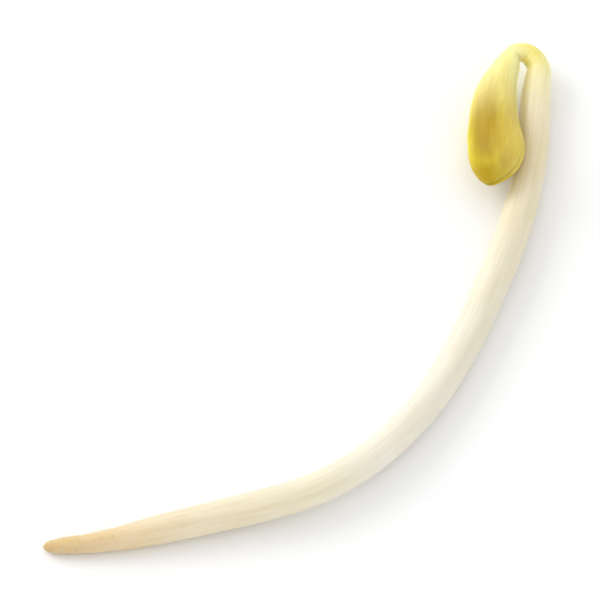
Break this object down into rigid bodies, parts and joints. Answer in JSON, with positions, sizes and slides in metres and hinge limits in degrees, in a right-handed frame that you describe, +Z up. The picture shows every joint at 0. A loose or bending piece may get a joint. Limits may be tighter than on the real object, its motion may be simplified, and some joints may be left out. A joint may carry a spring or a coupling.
{
  "type": "soybean sprout",
  "caption": "Soybean sprout lying on a surface: a long pale bent stem that tapers into its root, with a tight hook and closed seed leaves at the top.",
  "frame": {"origin": "middle of the bounding box's underside, on the surface that the sprout lies on", "axes": "+X from the root tip to the hook, +Z up from the surface, +Y to the side that the stem bends away from and the seed leaves lie on"},
  "size_m": [0.0726, 0.0206, 0.0061],
  "materials": {
    "stem_white": "satin",
    "seed_leaf_yellow": "satin"
  },
  "bodies": {
    "root": {"stem": "stem_white", "seed_leaf_upper": "seed_leaf_yellow", "seed_leaf_lower": "seed_leaf_yellow"}
  },
  "joints": []
}
